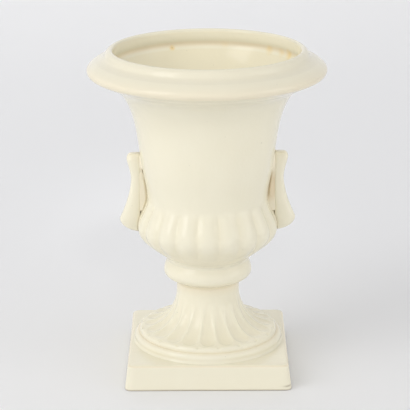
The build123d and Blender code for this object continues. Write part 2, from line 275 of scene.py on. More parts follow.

# %% [markdown]
# Two finishes use the groups. The cream glaze covers the castings, the handles and the rings of slip
# between the castings. The slip behind the handles is duller, and gets a warm painted shade where it is
# hollow. Stains are round spots where iron in the clay came through on the ledge inside the mouth. One of
# them has a grey pinhole, and one grey speck sits on the bell. Each is given by its place on the vase.

# %% Finishes
CREAM = (0.850, 0.808, 0.655, 1)
# Yellow of pooled glaze, also used for painted shade in the cove inside the mouth
POOLED_AND_SHADED = (0.730, 0.640, 0.400, 1)
# Peach of thin glaze at edges, also used for painted shade in the cove inside the mouth
THIN_AND_SHADE = (0.840, 0.700, 0.500, 1)
# Dark bare-clay colour, also used for painted shade in notches, along the foot and on the rim's top
BARE_AND_SHADE = (0.180, 0.110, 0.060, 1)
STAIN = (0.840, 0.600, 0.180, 1)
SPECK = (0.420, 0.390, 0.320, 1)
SLIP = (0.86, 0.80, 0.64, 1)
# Warm colour of pooled slip, also used for painted shade in the hollow behind the right handle
SLIP_POOLED_AND_SHADED = (0.68, 0.50, 0.28, 1)
POOL_AND_SHADE_STRENGTH = 0.5
THIN_AND_SHADE_STRENGTH = 0.55
SPECK_STRENGTH = 0.35
GLAZE_IOR = 1.5

# Each stain or speck: centre in millimetres, radius in millimetres, strength
STAINS = (
    ((-24.6, 60.1, 214.4), 2.8, 0.75),
    ((13.0, 64.7, 216.0), 4.5, 0.12),
    ((44.2, 47.9, 215.4), 4.6, 0.40),
    ((52.5, 38.6, 215.4), 4.6, 0.30),
    ((57.6, 30.6, 215.4), 5.6, 0.55),
)
GREY_SPECKS = (((36.5, -32.4, 169.4), 0.9, 0.35), ((-24.7, 60.2, 214.6), 0.75, 0.8))


def mix_colour(tree, factor, first, second):
    """Blend two colours, values or links, by a factor."""
    node = add_node(tree, "ShaderNodeMix", {0: factor, 6: first, 7: second}, data_type="RGBA")
    return node.outputs[2]


def scaled(tree, value, factor):
    """Multiply a link by a number and keep it between 0 and 1."""
    return math_node(tree, "MULTIPLY", value, factor, use_clamp=True)


def add_spots(tree, place, colour, spots, spot_colour):
    """Lay stain spots over a colour."""
    for centre, radius, strength in spots:
        inputs = {"Place": place, "Centre": [v * MM for v in centre], "Radius": radius * MM}
        spot = add_node(tree, "ShaderNodeGroup", inputs, node_tree=stain_group)
        colour = mix_colour(tree, scaled(tree, spot.outputs["Mask"], strength), colour, spot_colour)
    return colour


def make_finish(name, base, pooled_and_shaded, spots, clouds, roughness, ripple):
    """A glazed finish: base colour, pooled and thin places, mottling, spots, bare and painted-shade places,
    and a faint ripple.
    """
    material = bpy.data.materials.new(name)
    material.use_nodes = True
    tree = material.node_tree
    shader = tree.nodes["Principled BSDF"]
    place = add_node(tree, "ShaderNodeTexCoord").outputs["Object"]
    mottle = add_node(tree, "ShaderNodeGroup", {"Place": place}, node_tree=mottle_group)
    stored = [add_node(tree, "ShaderNodeAttribute", attribute_name=key) for key in ("pool_and_shade", "thin_and_shade", "bare_and_shade")]
    pool_and_shade, thin_and_shade, bare_and_shade = (node.outputs["Fac"] for node in stored)
    cloud = mottle.outputs["Cloud"]
    colour = mix_colour(tree, scaled(tree, cloud, clouds), base, pooled_and_shaded)
    # Pooled glaze in grooves and creases, and painted shade in the cove and in the slot behind the right
    # handle
    colour = mix_colour(tree, scaled(tree, pool_and_shade, POOL_AND_SHADE_STRENGTH), colour, pooled_and_shaded)
    # Thin glaze at edges, and painted shade in the cove inside the mouth
    colour = mix_colour(tree, scaled(tree, thin_and_shade, THIN_AND_SHADE_STRENGTH), colour, THIN_AND_SHADE)
    colour = add_spots(tree, place, colour, spots, STAIN)
    colour = add_spots(tree, place, colour, GREY_SPECKS, SPECK)
    colour = mix_colour(tree, scaled(tree, mottle.outputs["Specks"], SPECK_STRENGTH), colour, SPECK)
    # Bare clay, chips and dust, and painted shade in the handles' notches, along the plinth's bottom edge and
    # on the rim's top
    colour = mix_colour(tree, bare_and_shade, colour, BARE_AND_SHADE)
    gloss = ramp(tree, cloud, (0.3, 0.7), (roughness - 0.04, roughness + 0.06))
    waves = {"Height": mottle.outputs["Ripple"], "Strength": 0.25, "Distance": ripple}
    normal = add_node(tree, "ShaderNodeBump", waves).outputs["Normal"]
    coat = {"Base Color": colour, "Roughness": gloss, "Normal": normal, "IOR": GLAZE_IOR}
    fill_inputs(tree, shader, coat)
    return material


cream_glaze = make_finish("cream_glaze", CREAM, POOLED_AND_SHADED, STAINS, clouds=0.16, roughness=0.10, ripple=0.0004)
joint_slip = make_finish("joint_slip", SLIP, SLIP_POOLED_AND_SHADED, (), clouds=0.12, roughness=0.35, ripple=0.0006)
print("finishes:", cream_glaze.name, "and", joint_slip.name)

# %% [markdown]
# The bowl and the socle follow one rule: an outline is turned about the axis, and an ornament repeats round
# it. A Geometry Nodes tree is the right tool for that. Its input is the outline as a string of points, and
# each point carries how deep the ornament is cut there, how wide, how the glaze lies, and how dark it is
# painted for mottling and shade.
# The tree lays a grid over it, reads one outline point for each row, turns the grid round, and presses
# lobes or flutes into it along the outline's own normal.

# %% Geometry Nodes: carved lathe
LOBE_SOFTNESS = 0.065
FLUTE_POWER = 0.6
WELD_DISTANCE = 0.000002


def make_carved_lathe():
    """Build the tree that turns an outline and carves its repeating ornament."""
    tree = bpy.data.node_groups.new("carved lathe", "GeometryNodeTree")
    for name, kind in (
        ("Geometry", "Geometry"),
        ("Segments", "Int"),
        ("Repeats", "Int"),
        ("Flutes", "Bool"),
        ("Pit Share", "Float"),
        ("Deepest Cut", "Float"),
        ("Finish", "Material"),
    ):
        tree.interface.new_socket(name, in_out="INPUT", socket_type="NodeSocket" + kind)
    tree.interface.new_socket("Geometry", in_out="OUTPUT", socket_type="NodeSocketGeometry")
    start, end = tree.nodes.new("NodeGroupInput"), tree.nodes.new("NodeGroupOutput")
    outline, segments = start.outputs["Geometry"], start.outputs["Segments"]

    def calc(operation, *values):
        """Result of a math node in this tree."""
        return math_node(tree, operation, *values)

    rows = add_node(tree, "GeometryNodeAttributeDomainSize", {"Geometry": outline}).outputs["Point Count"]
    columns = calc("ADD", segments, 1.0)
    size = {"Size X": 1.0, "Size Y": 1.0, "Vertices X": columns, "Vertices Y": rows}
    mesh = add_node(tree, "GeometryNodeMeshGrid", size).outputs["Mesh"]
    index = add_node(tree, "GeometryNodeInputIndex").outputs["Index"]
    row = calc("MODULO", index, rows)
    column = calc("FLOOR", calc("DIVIDE", index, rows))

    def read_row(kind, field):
        """Value that the outline point of this row carries."""
        inputs = {"Geometry": outline, "Value": field, "Index": row}
        sample = add_node(tree, "GeometryNodeSampleIndex", inputs, data_type=kind, domain="POINT")
        return sample.outputs["Value"]

    def row_value(name, kind="FLOAT"):
        """Named attribute of the outline point of this row."""
        named = add_node(tree, "GeometryNodeInputNamedAttribute", {"Name": name}, data_type=kind)
        return read_row(kind, named.outputs["Attribute"])

    # Place round the axis, and distance from the middle of one repeat (0) to its edge (1)
    turn = calc("DIVIDE", column, segments)
    around = calc("MULTIPLY", turn, 2 * math.pi)
    repeat = calc("FRACT", calc("MULTIPLY_ADD", turn, start.outputs["Repeats"], 0.5))
    offset = calc("ABSOLUTE", calc("MULTIPLY_ADD", repeat, 2.0, -1.0))

    # Depth of the lobes or flutes, and of the pits between flutes
    rest = calc("SUBTRACT", 1.0, calc("POWER", offset, 2.0))
    lobe = calc("SUBTRACT", 1.0, calc("SQRT", calc("MULTIPLY_ADD", rest, rest, LOBE_SOFTNESS)))
    across = calc("DIVIDE", offset, row_value("cover"))
    inside = calc("MAXIMUM", calc("SUBTRACT", 1.0, calc("POWER", across, 2.0)), 0.0)
    flute = calc("POWER", inside, FLUTE_POWER)
    choice = {"Switch": start.outputs["Flutes"], "False": lobe, "True": flute}
    shape = add_node(tree, "GeometryNodeSwitch", choice, input_type="FLOAT")
    cut = calc("MULTIPLY", shape.outputs["Output"], row_value("carve"))
    pit_reach = calc("DIVIDE", calc("SUBTRACT", 1.0, offset), start.outputs["Pit Share"])
    pit_fade = calc("EXPONENT", calc("MULTIPLY", calc("POWER", pit_reach, 2.0), -1.0))
    depth = calc("MULTIPLY_ADD", pit_fade, row_value("pit"), cut)

    # The outline's point, pressed in by that depth and turned to its place
    point = read_row("FLOAT_VECTOR", add_node(tree, "GeometryNodeInputPosition").outputs["Position"])
    outward = row_value("outward", "FLOAT_VECTOR")
    pressed = add_node(tree, "ShaderNodeVectorMath", {0: outward, "Scale": depth}, operation="SCALE")
    steps = {0: point, 1: pressed.outputs["Vector"]}
    moved = add_node(tree, "ShaderNodeVectorMath", steps, operation="SUBTRACT")
    parts = add_node(tree, "ShaderNodeSeparateXYZ", {"Vector": moved.outputs["Vector"]})
    place = {
        "X": calc("MULTIPLY", parts.outputs["X"], calc("COSINE", around)),
        "Y": calc("MULTIPLY", parts.outputs["X"], calc("SINE", around)),
        "Z": parts.outputs["Z"],
    }
    turned = add_node(tree, "ShaderNodeCombineXYZ", place)

    # How the glaze lies, and its painted shade, for the shader
    pooled_and_shaded = calc("ADD", calc("DIVIDE", depth, start.outputs["Deepest Cut"]), row_value("crease"))
    for name, field in (("pool_and_shade", pooled_and_shaded), ("thin_and_shade", row_value("thin_and_shade")), ("bare_and_shade", row_value("mottle_and_shade"))):
        named = {"Geometry": mesh, "Name": name, "Value": field}
        store = add_node(tree, "GeometryNodeStoreNamedAttribute", named, data_type="FLOAT", domain="POINT")
        mesh = store.outputs["Geometry"]
    for kind, inputs in (
        ("SetPosition", {"Position": turned.outputs["Vector"]}),
        ("MergeByDistance", {"Distance": WELD_DISTANCE}),
        ("SetShadeSmooth", {}),
        ("RealizeInstances", {}),
        ("SetMaterial", {"Material": start.outputs["Finish"]}),
    ):
        mesh = add_node(tree, "GeometryNode" + kind, {"Geometry": mesh, **inputs}).outputs["Geometry"]
    tree.links.new(mesh, end.inputs["Geometry"])
    return tree


carved_lathe = make_carved_lathe()
print("carved lathe tree:", len(carved_lathe.nodes), "nodes")

# %% [markdown]
# A turned piece is then one call. The outline goes in as loose points with their values, the tree runs
# once, and its result is kept as a plain mesh, so that nothing has to be worked out again later.


# %% Turning an outline
def print_counts(mesh):
    """Print how many points and triangles a mesh has."""
    triangles = sum(len(f.vertices) - 2 for f in mesh.polygons)
    print(mesh.name, len(mesh.vertices), "points,", triangles, "triangles")


def write_values(mesh, key, values):
    """Put one number on each point of a mesh."""
    mesh.attributes.new(key, "FLOAT", "POINT").data.foreach_set("value", np.array(values, np.float32))


def turn_outline(name, outline, rows, segments, deepest_cut, repeats=1, flutes=False, pit_share=0.1):
    """Turn an outline in millimetres into a glazed mesh object, with the values that its points carry."""
    points = np.array(outline, float)
    along = np.gradient(points, axis=0)
    outward = np.stack([along[:, 1], np.zeros(len(points)), -along[:, 0]], axis=1)
    outward /= np.linalg.norm(outward, axis=1)[:, None] + 1e-12
    string = bpy.data.meshes.new(name + "_outline")
    string.from_pydata([(r * MM, 0, z * MM) for r, z in points], [], [])
    string.attributes.new("outward", "FLOAT_VECTOR", "POINT").data.foreach_set("vector", outward.ravel())
    for key in ("carve", "cover", "pit", "crease", "thin_and_shade", "mottle_and_shade"):
        write_values(string, key, rows.get(key, np.zeros(len(points))))
    blank = link_object(name + "_blank", string)
    modifier = blank.modifiers.new("carved lathe", "NODES")
    modifier.node_group = carved_lathe
    sockets = {s.name: s.identifier for s in carved_lathe.interface.items_tree if s.in_out == "INPUT"}
    keys = ("Segments", "Repeats", "Flutes", "Pit Share", "Deepest Cut", "Finish")
    for key, value in zip(keys, (segments, repeats, flutes, pit_share, deepest_cut * MM, cream_glaze)):
        modifier[sockets[key]] = value
    evaluated = blank.evaluated_get(bpy.context.evaluated_depsgraph_get())
    mesh = bpy.data.meshes.new_from_object(evaluated)
    mesh.name = name
    bpy.data.objects.remove(blank)
    print_counts(mesh)
    return link_object(name, mesh)


# %% [markdown]
# The bowl. Its outline starts on the axis underneath, goes round the locating ring into the cup's flank,
# over the bulge and up the bell to the rolled rim, then over the collar's lip and down inside to the floor.
# Inside the mouth the wall draws back in a shallow cove, which ends on a ledge.

# %% Bowl outline
bowl_low, bowl_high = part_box("bowl")
RIM_RADIUS = bowl_high.x / MM
LIP_TOP = bowl_high.z / MM
BOWL_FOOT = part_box("bowl_seam")[1].z / MM
CUP_BASE_RADIUS = 28.8
CUP_BASE = (CUP_BASE_RADIUS, BOWL_FOOT)
BULGE = (49.7, BOWL_FOOT + 22.5)
NECK = (42.0, BULGE[1] + 20.5)
RIM_FOOT = (73.3, NECK[1] + 84.5)
FLANGE_LEVEL = RIM_FOOT[1] + 12.9
MOUTH_RADIUS = RIM_RADIUS - 18.0
RING_OUTER = 22.0
RING_INNER = 18.0
RING_FOOT = bowl_low.z / MM
FLOOR = BOWL_FOOT + 5.5

# Places that the rim's strokes are measured from, and the cove's steps out and up from the mouth
rim_edge = (RIM_RADIUS, RIM_FOOT[1])
mouth = (MOUTH_RADIUS, RIM_FOOT[1])
collar = (MOUTH_RADIUS, FLANGE_LEVEL)
lip = (MOUTH_RADIUS, LIP_TOP)
COVE = ((0.05, 15.5), (0.35, 13.2), (1.0, 11.2), (1.4, 9.8), (1.4, 8.8), (1.0, 7.6), (0.4, 6.4))
LEDGE_SLOPE = (-0.45, -0.89)

bead_foot = shift(rim_edge, -2.2, 3.0)
bead_top = shift(rim_edge, -0.7, 8.4)
flange = (RIM_RADIUS - 6.8, FLANGE_LEVEL)
collar_foot = shift(collar, 6.0, 2.7)
lip_outer = shift(lip, 1.9, 0.0)
lip_inner = shift(lip, 0.0, -1.8)
ledge = shift(mouth, *COVE[-1])
throat = shift(NECK, -5.0, -2.2)
belly = shift(BULGE, -7.2, 0.0)
floor_edge = (CUP_BASE_RADIUS - 11.0, FLOOR)

bowl_strokes = {
    "underside": runs(
        [(0, BOWL_FOOT), (RING_INNER, BOWL_FOOT), (RING_INNER, RING_FOOT)]
        + [(RING_OUTER, RING_FOOT), (RING_OUTER, BOWL_FOOT), shift(CUP_BASE, -0.6, 0.0)],
        (3, 3, 3, 3, 5),
    ),
    "flank": bend(shift(CUP_BASE, 0.0, 0.25), shift(CUP_BASE, 7.9, 6.1), shift(BULGE, 0.0, -8.55), BULGE, 34),
    "shoulder": bend(BULGE, shift(BULGE, 0.0, 8.0), shift(NECK, 1.2, -6.0), NECK, 34),
    "bell": smooth_curve(
        [NECK, shift(NECK, 2.9, 19.5), shift(NECK, 6.7, 46.5), shift(NECK, 13.4, 69.5)]
        + [shift(RIM_FOOT, -10.8, -5.6), RIM_FOOT],
        (0, 1),
        (0.855, 0.518),
        52,
    ),
    "rim": run(RIM_FOOT, bead_foot, 6)
    + arc(bead_foot, shift(rim_edge, 0.0, 6.2), bead_top, 12)
    + arc(bead_top, shift(rim_edge, -3.54, 10.93), flange, 8),
    "collar": arc(flange, shift(collar, 8.1, 1.3), collar_foot, 6)
    + arc(collar_foot, shift(collar, 4.7, 5.7), lip_outer, 10)
    + arc(lip_outer, shift(lip, 0.5, -0.6), lip_inner, 6),
    "cove": smooth_curve([lip_inner] + [shift(mouth, *step) for step in COVE], (0, -1), LEDGE_SLOPE, 30),
    "inside": smooth_curve(
        [ledge, shift(RIM_FOOT, -14.3, -2.1), shift(NECK, 8.8, 71.6)]
        + [shift(NECK, 1.6, 47.0), shift(NECK, -2.1, 20.0), throat],
        LEDGE_SLOPE,
        (0, -1),
        34,
    )
    + bend(throat, shift(throat, 0.0, -8.0), shift(belly, 0.0, 7.0), belly, 10)
    + bend(belly, shift(belly, 0.0, -9.4), (BULGE[0] - 13.2, FLOOR), floor_edge, 10)
    + run(floor_edge, (0, FLOOR), 4)
    + [(0, FLOOR)],
}
print("bowl outline:", {name: len(points) for name, points in bowl_strokes.items()})

# %% [markdown]
# Now the values along that outline. The lobes are deepest at the bulge and run out at the neck. Glaze is
# thin on the rim's bead. The back of the cove is tinted peach and yellow, partly as pooled glaze and partly
# as painted shade under the collar, and the inside of the bowl is tinted towards the pooled colour. The tops
# of the rim and the collar are darkened, partly as grey mottling and partly as painted shade.

# %% Bowl
LOBES = 20
LOBE_DEPTH = 2.0
LOBE_AT_FOOT = 0.03
COVE_BACK = RIM_FOOT[1] + 9.8
COVE_REACH = 1.9
# How far the tops of the rim and the collar are darkened: some grey mottling, and painted shade
RIM_MOTTLE_AND_SHADE = 0.065


def stroke_rows(strokes, per_stroke):
    """String per-stroke values together, with 0 where a stroke has none."""
    columns = [per_stroke.get(name, 0.0) + np.zeros(len(points)) for name, points in strokes.items()]
    return np.concatenate(columns)


def shares(stroke, first=0.0, last=1.0, endpoint=True):
    """Even values from first to last over the points of a stroke."""
    return np.linspace(first, last, len(stroke), endpoint=endpoint)


flank_share = shares(bowl_strokes["flank"], endpoint=False)
shoulder_share = shares(bowl_strokes["shoulder"], endpoint=False)
lobe_growth = smooth_step(1.05 * flank_share) ** 1.6
lobe_rows = stroke_rows(
    bowl_strokes,
    {
        "flank": LOBE_DEPTH * MM * (LOBE_AT_FOOT + (1 - LOBE_AT_FOOT) * lobe_growth),
        "shoulder": LOBE_DEPTH * MM * (1 - shoulder_share**5),
    },
)
bowl_points = soften(sum(bowl_strokes.values(), []), 2)
cove_levels = np.array([z for _, z in bowl_strokes["cove"]])
# The cove's tint: partly pooled glaze, partly painted shade under the collar
cove_shade_share = hump(cove_levels - COVE_BACK, COVE_REACH, 4)
bead_share = np.sin(shares(bowl_strokes["rim"], 0, math.pi)) ** 2
# Painted shade, with some grey mottling, on the rim's top
rim_mottle_and_shade_share = smooth_step(shares(bowl_strokes["rim"], -0.5, 2.0))
bowl_rows = {
    "carve": lobe_rows,
    "cover": np.ones(len(lobe_rows)),
    "crease": stroke_rows(bowl_strokes, {"cove": 0.15 * cove_shade_share, "inside": 0.5}),
    "thin_and_shade": stroke_rows(bowl_strokes, {"rim": 0.5 * bead_share, "cove": 0.75 * cove_shade_share}),
    "mottle_and_shade": stroke_rows(bowl_strokes, {"rim": RIM_MOTTLE_AND_SHADE * rim_mottle_and_shade_share, "collar": 1.5 * RIM_MOTTLE_AND_SHADE}),
}
bowl = turn_outline("glazed_bowl", bowl_points, bowl_rows, LOBES * 18, 2.5 * LOBE_DEPTH, LOBES)

# %% [markdown]
# The socle. The same tree presses hollow flutes into its flare: they open slowly below the stem and end in
# a round foot above the skirt, with a small pit at the end of each ridge between them. The knop above them
# and the ring below are plain turnings.

# %% Socle outline
socle_low, socle_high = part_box("socle")
RING_RADIUS = socle_high.x / MM
RING_LEVEL = socle_low.z / MM
SOCLE_TOP = socle_high.z / MM
SKIRT_LEVEL = RING_LEVEL + 6.0
FLARE_LEVEL = SKIRT_LEVEL + 3.4
STEM_LEVEL = FLARE_LEVEL + 27.5
KNOP_LEVEL = STEM_LEVEL + 6.0
KNOP_RISE = SOCLE_TOP - KNOP_LEVEL
STEM_RADIUS = 22.0
FLARE_RADIUS = RING_RADIUS - 5.2
KNOP_RADIUS = 30.8
KNOP_TOP_RADIUS = CUP_BASE_RADIUS - 1.3
SOCKET_RADIUS = 22.5
BORE_RADIUS = 16.2
BORE_TOP = STEM_LEVEL - 3.0
BORE_FOOT = RING_LEVEL + 3.9
SKIRT_BORE_RADIUS = 44.0


def quarter_ellipse(centre, width, height, count, upward):
    """Points of the lower left quarter of an ellipse, without its end, going upward or downward."""
    angles = np.linspace(0, 0.5 * math.pi, count, endpoint=False)
    aside, below = (np.sin(angles), np.cos(angles)) if upward else (np.cos(angles), np.sin(angles))
    return list(zip(centre[0] - width * aside, centre[1] - height * below))


def on_knop(radius, share):
    """Point at a radius and a share of the knop's height."""
    return (radius, KNOP_LEVEL + share * KNOP_RISE)


ring = (RING_RADIUS, RING_LEVEL)
skirt = (RING_RADIUS, SKIRT_LEVEL)
ring_crease = shift(skirt, -2.9, 0.0)
skirt_foot = shift(skirt, -3.6, 0.0)
knop_belly = on_knop(KNOP_RADIUS, 0.466)
socle_strokes = {
    "ring": run((SKIRT_BORE_RADIUS, RING_LEVEL), shift(ring, -1.2, 0.0), 4)
    + arc(shift(ring, -0.8, 0.2), shift(ring, 0.0, 2.4), ring_crease, 16),
    "skirt": run(ring_crease, skirt_foot, 2)
    + arc(skirt_foot, shift(skirt, -4.0, 2.2), (FLARE_RADIUS, FLARE_LEVEL), 8),
    "flare": quarter_ellipse(
        (FLARE_RADIUS, STEM_LEVEL), FLARE_RADIUS - STEM_RADIUS, STEM_LEVEL - FLARE_LEVEL, 70, True
    ),
    "stem": run((STEM_RADIUS, STEM_LEVEL), (STEM_RADIUS, KNOP_LEVEL), 7),
    "knop": bend(
        (STEM_RADIUS, KNOP_LEVEL), on_knop(STEM_RADIUS, 0.184), on_knop(KNOP_RADIUS, 0.141), knop_belly, 16
    )
    + bend(
        knop_belly,
        on_knop(KNOP_RADIUS, 0.64),
        on_knop(KNOP_TOP_RADIUS + 1.9, 0.8),
        (KNOP_TOP_RADIUS, SOCLE_TOP - 0.3),
        14,
    ),
    "bore": runs(
        [(KNOP_TOP_RADIUS - 0.3, SOCLE_TOP), (SOCKET_RADIUS, SOCLE_TOP), (SOCKET_RADIUS, SOCLE_TOP - 12.0)]
        + [(BORE_RADIUS, KNOP_LEVEL + 1.0), (BORE_RADIUS, BORE_TOP)],
        (4, 4, 3, 3),
    )
    + quarter_ellipse(
        (SKIRT_BORE_RADIUS, BORE_TOP), SKIRT_BORE_RADIUS - BORE_RADIUS, BORE_TOP - BORE_FOOT, 14, False
    )
    + run((SKIRT_BORE_RADIUS, BORE_FOOT), (SKIRT_BORE_RADIUS, RING_LEVEL), 3)
    + [(SKIRT_BORE_RADIUS, RING_LEVEL)],
}
print("socle outline:", {name: len(points) for name, points in socle_strokes.items()})

# %% [markdown]
# A flute's place on the flare is an angle, 0 at the stem and 90 at the skirt. It opens over the first half
# of its length, and closes in a round end over the last quarter. Glaze pools under the knop and in the
# skirt's crease.

# %% Socle
FLUTE_DEPTH = 1.2
FLUTE_SHARE = 0.90
FLUTE_START = 3.0
FLUTE_END = 86.0
FLUTE_OPENED = 0.55
FLUTE_CLOSING = 0.74
PIT_DEPTH = 1.0
PIT_REACH = 0.9

flare_angle = 90 - shares(socle_strokes["flare"], 0, 90, endpoint=False)
flute_share = (flare_angle - FLUTE_START) / (FLUTE_END - FLUTE_START)
flute_open = smooth_step(flute_share / FLUTE_OPENED)
past_closing = np.clip(flute_share - FLUTE_CLOSING, 0, None) / (1 - FLUTE_CLOSING)
flute_close = np.sqrt(np.clip(1 - past_closing**2, 0, 1))
flute_width = FLUTE_SHARE * (0.45 + 0.55 * flute_open) * flute_close
socle_points = soften(sum(socle_strokes.values(), []), 1)
from_pit = np.linalg.norm(socle_points - np.array([FLARE_RADIUS, FLARE_LEVEL]), axis=1)


def fading(name, steps):
    """Values that fade along one stroke of the socle from its first point."""
    return hump(shares(socle_strokes[name], 0, steps), 1)


socle_rows = {
    "carve": stroke_rows(socle_strokes, {"flare": FLUTE_DEPTH * MM * flute_open * flute_close**2}),
    "cover": stroke_rows(socle_strokes, {"flare": flute_width}) + 1e-3,
    "pit": PIT_DEPTH * MM * hump(from_pit, PIT_REACH),
    "crease": stroke_rows(
        socle_strokes, {"skirt": 0.8 * fading("skirt", 3), "knop": 0.6 * fading("knop", 9)}
    ),
    "thin_and_shade": stroke_rows(
        socle_strokes,
        {
            "ring": 0.5 * smooth_step(4 * shares(socle_strokes["ring"]) - 3),
            "skirt": 0.5 * fading("skirt", 4),
            "stem": 0.5 * shares(socle_strokes["stem"]),
            "knop": 0.5 * fading("knop", 6),
        },
    ),
}
socle_turn = (LOBES * 22, 5.0 * FLUTE_DEPTH, LOBES)
socle = turn_outline("glazed_socle", socle_points, socle_rows, *socle_turn, flutes=True, pit_share=0.15)

# %% [markdown]
# The plinth and the handles aren't round, so they are built from rows of points instead. Handwork leaves
# such faces a little uneven. A few long waves in fixed random directions, added up, give that unevenness.

# %% Rows into a mesh
rng = np.random.default_rng(7)
WAVES = [(rng.uniform(-1, 1, 3), rng.uniform(0, 6.28)) for _ in range(12)]


def unevenness(points, wavelength):
    """Smooth values between 0 and 1 over points in millimetres, for hand-made surfaces."""
    total = np.zeros(len(points))
    for direction, phase in WAVES:
        total += np.sin(points @ direction * (2 * math.pi / wavelength) + phase)
    return np.clip(0.5 + total / 8, 0, 1)


def mesh_from_rows(name, rows, closed, finish, values):
    """Join rings of points, in millimetres, into one closed mesh object, with values on its points."""
    rings = np.array(rows, float)
    count, around = rings.shape[:2]
    faces = []
    for i in range(count if closed else count - 1):
        here, above = i * around, ((i + 1) % count) * around
        for j in range(around):
            k = (j + 1) % around
            faces.append((here + j, here + k, above + k, above + j))
    if not closed:
        faces.append(tuple(range(around))[::-1])
        faces.append(tuple(range((count - 1) * around, count * around)))
    mesh = bpy.data.meshes.new(name)
    mesh.from_pydata([tuple(p) for p in rings.reshape(-1, 3) * MM], [], faces)
    for key, numbers in values.items():
        write_values(mesh, key, numbers)
    mesh.materials.append(finish)
    mesh.shade_smooth()
    print_counts(mesh)
    return link_object(name, mesh)


# %% [markdown]
# The plinth is a square slab with leaning sides, soft corners and a hollow underneath. Each row is a
# rounded square, given by half its side, its corner radius and its height. A circle is a rounded square
# whose corner is as large as its half side, so the hole and the locating ring on the deck are rows of the
# same kind.

# %% Plinth rows
DECK_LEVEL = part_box("plinth_seam")[0].z / MM
plinth_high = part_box("plinth")[1]
LOCATING_LEVEL = plinth_high.z / MM
FOOT_HALF = plinth_high.x / MM + 0.1
SIDE_LEAN = math.tan(math.radians(7.0))
CORNER = 4.0
HOLLOW_HALF = FOOT_HALF - 6.0
HOLLOW_TOP = DECK_LEVEL - 5.5
HOLLOW_STEP = 4.0
COLLAR_RADIUS = SKIRT_BORE_RADIUS - 0.5
HOLE_RADIUS = COLLAR_RADIUS - 3.5


def side_half(z):
    """Half the slab's side at a height on its leaning faces."""
    return FOOT_HALF - SIDE_LEAN * z


foot_turn = (FOOT_HALF - 0.8, 0.0)
side_foot = (FOOT_HALF - 0.12, 0.8)
side_top = (side_half(DECK_LEVEL - 2.0), DECK_LEVEL - 2.0)
deck_corner = (side_half(DECK_LEVEL), DECK_LEVEL)
deck_edge = shift(deck_corner, -2.1, 0.0)
slab = (
    run((HOLLOW_HALF, 0), foot_turn, 4)
    + arc(foot_turn, (FOOT_HALF - 0.28, 0.2), side_foot, 6)
    + run(side_foot, side_top, 22)
    + arc(side_top, shift(deck_corner, -0.5, -0.55), deck_edge, 9)
)
plinth_rows = [(half, CORNER, z) for half, z in slab]
for share in np.linspace(0, 1, 9):
    half = deck_edge[0] + (COLLAR_RADIUS - deck_edge[0]) * share
    plinth_rows.append((half, CORNER + (half - CORNER) * share**1.5, DECK_LEVEL))
for radius, z in ((COLLAR_RADIUS, LOCATING_LEVEL), (HOLE_RADIUS, LOCATING_LEVEL), (HOLE_RADIUS, HOLLOW_TOP)):
    plinth_rows.append((radius, radius, z))
hollow_top_half = HOLLOW_HALF - SIDE_LEAN * HOLLOW_TOP
for share in np.linspace(0.2, 1, 5):
    half = HOLE_RADIUS + (hollow_top_half - HOLE_RADIUS) * share
    plinth_rows.append((half, half + (CORNER - half) * share**0.6, HOLLOW_TOP))
plinth_rows.append((HOLLOW_HALF - SIDE_LEAN * HOLLOW_STEP, CORNER, HOLLOW_STEP))
print("plinth:", len(plinth_rows), "rows")

# %% [markdown]
# The rows become points. Then the outer faces are sunk a little, always inwards, and a chip is taken off
# the right front corner of the foot. The foot's edge is left bare, so that the vase doesn't stick to the
# kiln's shelf, and is painted dark: partly bare clay, partly painted contact shadow under the slab.

# %% Plinth
PLINTH_DENT = 0.35
PLINTH_WAVE = 60.0
OUTER_FROM = 50.5
CHIP = np.array([FOOT_HALF - 1.6, -FOOT_HALF + 1.0, 2.9])
CHIP_SIZE = (3.6, 2.4, 0.55)
CHIP_DEPTH = 0.9


def square_reach(angle, half, corner):
    """Distance from the axis to the side of a rounded square, in one direction."""
    fold = abs((angle + math.pi / 4) % (math.pi / 2) - math.pi / 4)
    along, across = math.cos(fold), math.sin(fold)
    if half * across <= (half - corner) * along:
        return half / along
    middle = (half - corner) * (along + across)
    return middle + math.sqrt(max(0.0, middle**2 - 2 * (half - corner) ** 2 + corner**2))


def square_angles():
    """Directions shared by all rows, closer together round the corners."""
    corner = np.linspace(36, 45, 9)
    quarter = np.concatenate([-corner[::-1], np.linspace(-35, 35, 29), corner[:-1]])
    return np.radians(np.concatenate([quarter + turn for turn in (0, 90, 180, 270)]))


plinth_rings = np.array(
    [[(square_reach(a, half, corner), a, z) for a in square_angles()] for half, corner, z in plinth_rows]
)
reach, angle, level = np.moveaxis(plinth_rings, -1, 0)
plinth_points = np.stack([reach * np.cos(angle), reach * np.sin(angle), level], axis=-1).reshape(-1, 3)
heights = plinth_points[:, 2].copy()
outer = (np.abs(plinth_points[:, :2]).max(axis=1) > OUTER_FROM) & (heights > 0.3)
chip = hump(np.linalg.norm((plinth_points - CHIP) / CHIP_SIZE, axis=1), 1) * outer
sink = np.where(outer, PLINTH_DENT * unevenness(plinth_points, PLINTH_WAVE), 0.0) + CHIP_DEPTH * chip
plinth_points[:, :2] *= (1 - sink / (np.linalg.norm(plinth_points[:, :2], axis=1) + 1e-9))[:, None]
top_edge = hump(heights - DECK_LEVEL + 0.7, 0.45) * outer
# Bare foot and painted contact shadow along the bottom edge
bare_foot_and_contact_shade = hump(heights, 0.6)
deck_crease = hump(np.linalg.norm(plinth_points[:, :2], axis=1) - RING_RADIUS + 1.4, 1.2)
plinth = mesh_from_rows(
    "glazed_plinth",
    plinth_points.reshape(plinth_rings.shape),
    True,
    cream_glaze,
    {
        "thin_and_shade": 0.8 * top_edge,
        "pool_and_shade": 0.04 * deck_crease * (heights > DECK_LEVEL - 0.1),
        "bare_and_shade": np.maximum(0.6 * chip, 0.85 * bare_foot_and_contact_shade),
    },
)

